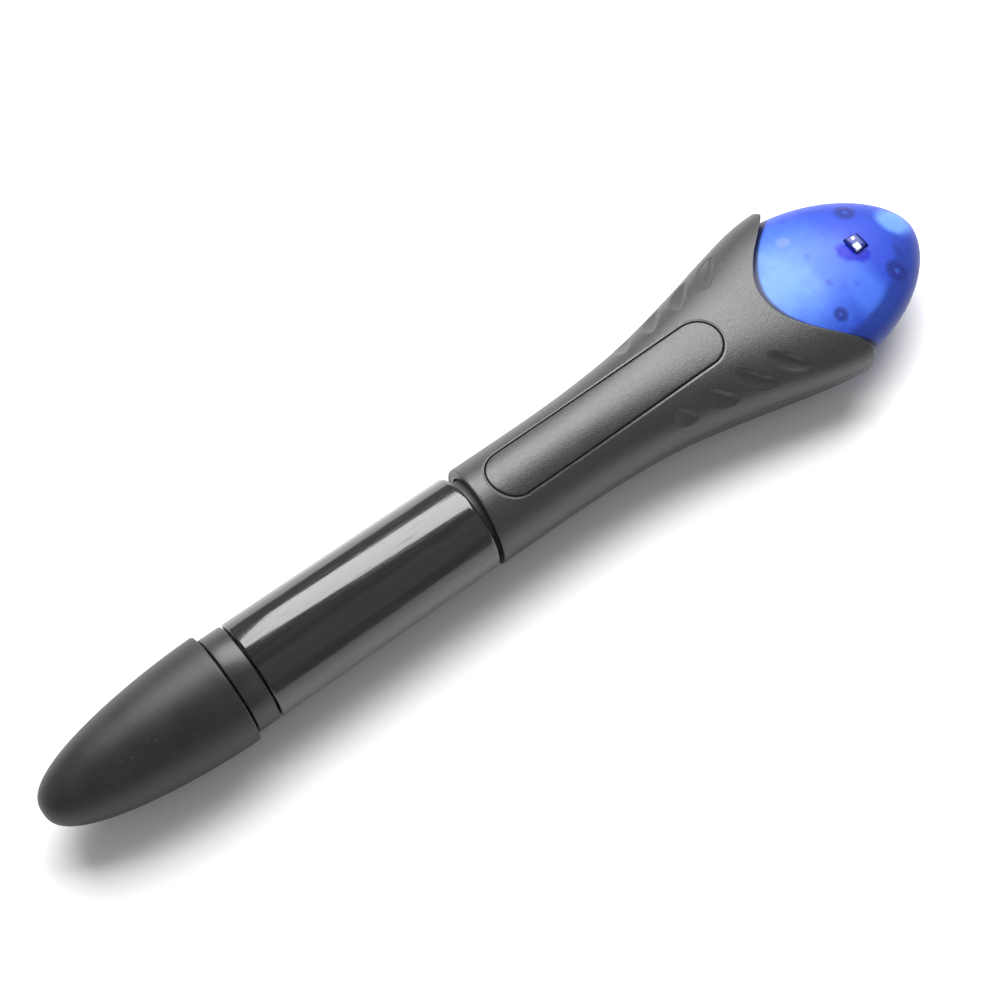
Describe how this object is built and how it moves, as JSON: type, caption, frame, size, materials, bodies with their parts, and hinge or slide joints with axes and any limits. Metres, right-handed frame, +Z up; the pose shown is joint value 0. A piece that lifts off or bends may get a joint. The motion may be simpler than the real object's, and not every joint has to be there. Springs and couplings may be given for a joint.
{
  "type": "counterfeit detector pen",
  "caption": "Pen-shaped banknote checker: bullet-capped marker plugged into a flared hand lamp with a long push button and a frosted blue ultraviolet dome.",
  "frame": {"origin": "middle of the object's bounding box in plan, on the surface that it lies on", "axes": "+X along the pen from the tip of the cap to the tip of the dome, +Z up with the push button on top, +Y across the pen"},
  "size_m": [0.1623, 0.0318, 0.0177],
  "materials": {
    "body_black": "fine moulded grain",
    "cap_black": "smooth satin",
    "barrel_black": "gloss with slight orange peel",
    "trim_black": "satin",
    "lens_blue": "frosted translucent",
    "led_clear": "clear epoxy",
    "nib_felt": "pressed felt",
    "ink_fibre": "fibre rod",
    "seal_white": "soft polyethylene",
    "seal_rubber": "smooth",
    "grey_plastic": "moulded",
    "steel": "bright zinc",
    "cell_nickel": "nickel plate",
    "contact_brass": "stamped strip",
    "board_green": "solder mask",
    "board_white": "white solder mask",
    "chip_black": "moulded epoxy",
    "wire_red": "PVC insulation",
    "wire_black": "PVC insulation"
  },
  "bodies": {
    "lamp": {"upper_shell": "body_black", "lower_shell": "body_black", "socket_sleeve": "grey_plastic", "dome_lens": "lens_blue", "dome_base": "lens_blue", "dome_screw_front_left": "steel", "dome_screw_front_right": "steel", "dome_screw_rear_left": "steel", "dome_screw_rear_right": "steel", "body_screw_left": "steel", "body_screw_right": "steel", "switch_body": "chip_black", "circuit_board": "board_green", "resistor": "chip_black", "led_board": "board_white", "uv_led": "led_clear", "led_wire_black": "wire_black", "led_wire_red": "wire_red", "battery_tray": "grey_plastic", "button_cell_1": "cell_nickel", "button_cell_2": "cell_nickel", "button_cell_3": "cell_nickel", "battery_spring": "steel", "battery_contact": "contact_brass"},
    "marker": {"barrel": "barrel_black", "barrel_plug": "grey_plastic", "plug_seal": "seal_rubber", "collar_ring": "trim_black", "nib_section": "trim_black", "nib": "nib_felt", "ink_reservoir": "ink_fibre"},
    "cap": {"cap": "cap_black", "inner_cap": "seal_white"},
    "button": {"push_button": "body_black"},
    "stem": {"switch_stem": "grey_plastic"}
  },
  "joints": [
    {"name": "marker_pull", "type": "slide", "parent": "lamp", "child": "marker", "axis": [-1, 0, 0], "range_m": [0, 0.0145]},
    {"name": "cap_pull", "type": "slide", "parent": "marker", "child": "cap", "axis": [-1, 0, 0], "range_m": [0, 0.025]},
    {"name": "button_press", "type": "hinge", "parent": "lamp", "child": "button", "pos_m": [-0.00365, 0, 0.01485], "axis": [0, 1, 0], "range_deg": [0, 1], "stiffness_Nm_per_rad": 2},
    {"name": "stem_press", "type": "slide", "parent": "lamp", "child": "stem", "axis": [0, 0, -1], "range_m": [0, 0.00075]}
  ],
  "couplings": [
    {"joint": "stem_press", "follows": "button_press", "m_per_rad": 0.0344}
  ]
}
